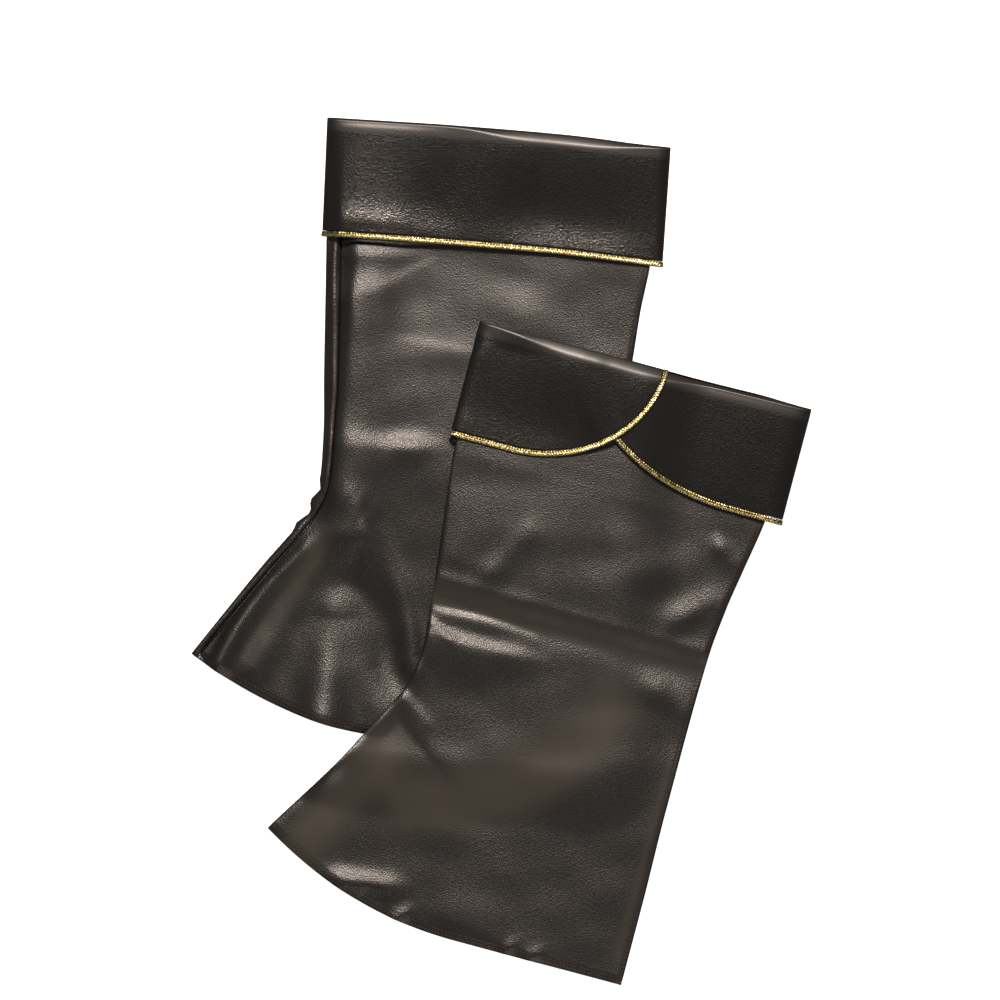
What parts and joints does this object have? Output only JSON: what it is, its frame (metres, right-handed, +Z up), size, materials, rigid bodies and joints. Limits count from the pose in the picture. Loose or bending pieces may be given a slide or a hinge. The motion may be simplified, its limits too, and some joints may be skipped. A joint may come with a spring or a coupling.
{
  "type": "pair of boot covers",
  "caption": "Flared black leatherette boot covers with turned-down cuffs edged in gold braid, laid flat, the left one over the right one.",
  "frame": {"origin": "centre of the pair's footprint, on the surface that it lies on", "axes": "+Z up from the surface, +Y along the longest side towards the tops of the covers, +X towards the back edges of the covers"},
  "size_m": [0.4026, 0.5646, 0.0157],
  "materials": {
    "leatherette": "black, fine-grained, softly shiny coated cloth",
    "gold_braid": "braid of metallic gold thread"
  },
  "bodies": {
    "root": {"right_body_upper_panel": "leatherette", "right_body_under_panel": "leatherette", "right_cuff_plain_side": "leatherette", "right_cuff_shin_flap": "leatherette", "right_cuff_back_flap": "leatherette", "right_braid_plain_side": "gold_braid", "right_braid_shin_flap": "gold_braid", "right_braid_back_flap": "gold_braid", "left_body_upper_panel": "leatherette", "left_body_under_panel": "leatherette", "left_cuff_plain_side": "leatherette", "left_cuff_shin_flap": "leatherette", "left_cuff_back_flap": "leatherette", "left_braid_plain_side": "gold_braid", "left_braid_shin_flap": "gold_braid", "left_braid_back_flap": "gold_braid"}
  },
  "joints": []
}
